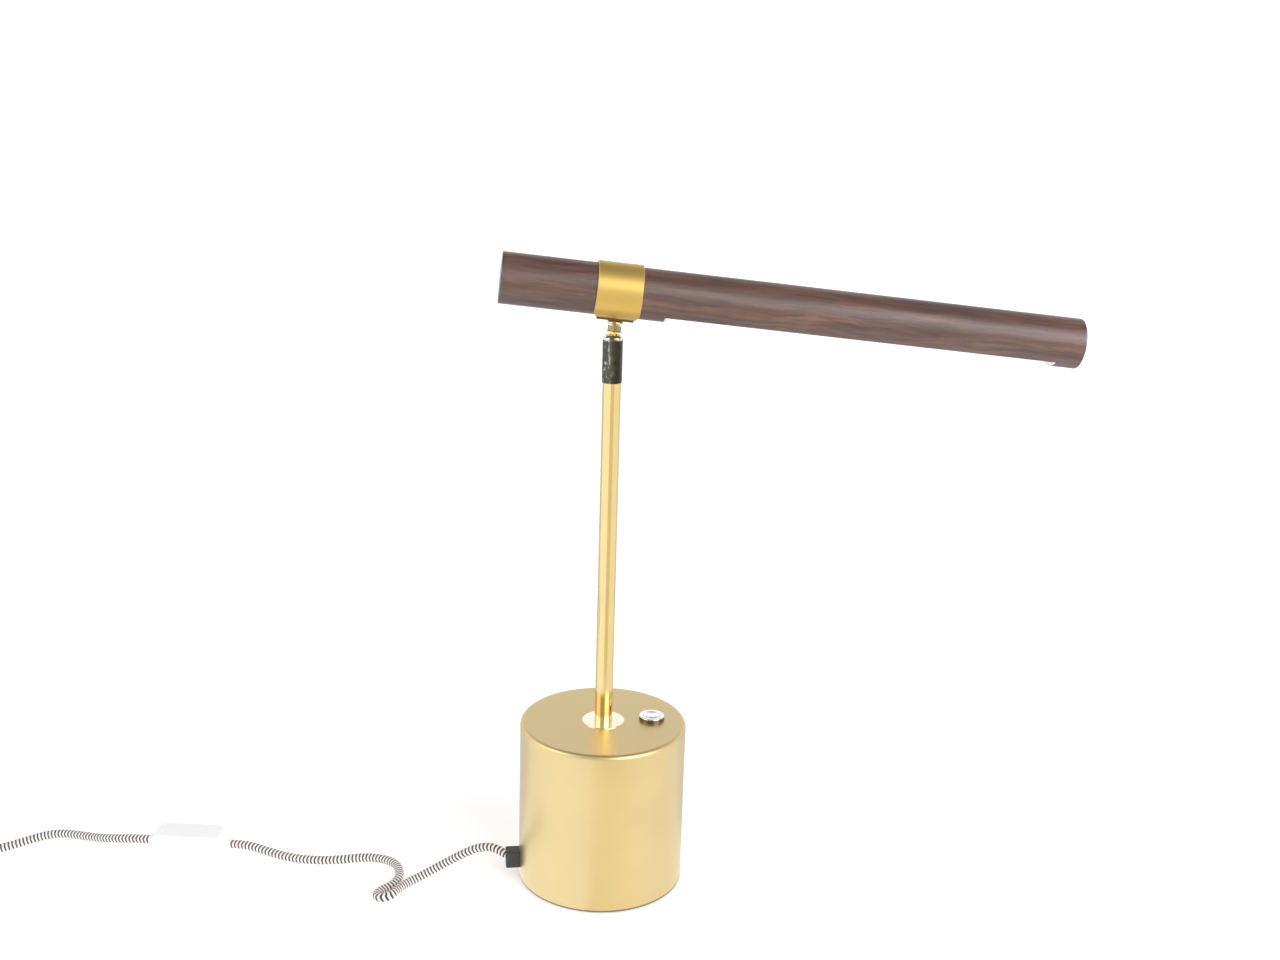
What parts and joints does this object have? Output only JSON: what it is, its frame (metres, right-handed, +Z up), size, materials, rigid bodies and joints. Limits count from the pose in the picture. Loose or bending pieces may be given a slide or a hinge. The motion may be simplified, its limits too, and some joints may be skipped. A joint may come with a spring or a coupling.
{
  "type": "desk lamp",
  "caption": "Desk lamp with a drum base, slim pole, push button and long tubular head that swivels and tilts on a ball joint, with a braided mains cord and in-line driver",
  "frame": {"origin": "centre of the base's underside, on the table", "axes": "+X along the head towards its long end (away from the cord), +Y to the back, +Z up"},
  "size_m": [0.9086, 0.1911, 0.4615],
  "materials": {
    "satin_brass": "satin",
    "polished_brass": "polished",
    "polished_nickel": "polished",
    "chrome": "polished",
    "walnut_finish": "satin walnut film",
    "cap_dark": "satin",
    "cast_iron": "cast",
    "steel": "zinc plated",
    "bare_aluminium": "mill",
    "black_rubber": "matt",
    "black_plastic": "matt",
    "white_plastic": "fine matt",
    "natural_plastic": "natural",
    "circuit_board": "white solder mask",
    "led_package": "phosphor",
    "opal": "opal",
    "wire_insulation": "smooth",
    "braided_textile": "black and white zigzag braid"
  },
  "bodies": {
    "base": {"foot_pad": "black_rubber", "base_plate": "steel", "base_plate_screws": "steel", "ballast": "cast_iron", "base_shell": "satin_brass", "tie_rod": "steel", "rod_nuts": "steel", "rod_washers": "steel", "pole": "polished_brass", "pole_flange": "polished_brass", "joint_spigot": "steel", "joint_sleeve": "polished_nickel", "sleeve_set_screw": "steel", "joint_spring_washers": "steel", "switch_bezel": "chrome", "switch_nut": "chrome", "switch_body": "black_plastic", "switch_spring": "steel", "cord_grip": "black_plastic", "terminal_block": "natural_plastic", "terminal_screws": "steel", "supply_tail": "braided_textile", "switch_wires": "wire_insulation", "pole_wire": "wire_insulation", "cord_lamp_side": "braided_textile", "driver_case_bottom": "white_plastic", "driver_case_top": "white_plastic", "driver_screws": "steel", "driver_sleeves": "white_plastic", "driver_board": "circuit_board", "cord_plug_side": "braided_textile", "cord_coil": "braided_textile", "cord_tie": "black_plastic", "cord_tail": "braided_textile", "plug_body": "black_plastic", "plug_pins": "chrome"},
    "seat": {"ball_seat": "natural_plastic"},
    "liner": {"ball_liner": "natural_plastic"},
    "head": {"ball_stud": "polished_brass", "head_plate": "polished_nickel", "clamp_band": "satin_brass", "head_tube": "walnut_finish", "end_cap_left": "cap_dark", "end_cap_right": "cap_dark", "led_carrier": "bare_aluminium", "led_board": "circuit_board", "led_chips": "led_package", "diffuser": "opal", "stud_saddle": "natural_plastic", "stud_nut": "steel", "head_wire": "wire_insulation"},
    "button": {"switch_button": "chrome"}
  },
  "joints": [
    {"name": "head_pan", "type": "hinge", "parent": "base", "child": "seat", "pos_m": [0, 0, 0.4022], "axis": [0, 0, 1], "range_deg": [-170, 170]},
    {"name": "head_roll", "type": "hinge", "parent": "seat", "child": "liner", "pos_m": [0, 0, 0.4022], "axis": [1, 0, 0], "range_deg": [-7, 7]},
    {"name": "head_tilt", "type": "hinge", "parent": "liner", "child": "head", "pos_m": [0, 0, 0.4022], "axis": [0, 1, 0], "range_deg": [-21.5, 10]},
    {"name": "switch_press", "type": "slide", "parent": "base", "child": "button", "axis": [0, 0, -1], "range_m": [0, 0.002], "stiffness_N_per_m": 600, "springref_m": -0.002, "deforming": ["switch_spring"]}
  ]
}
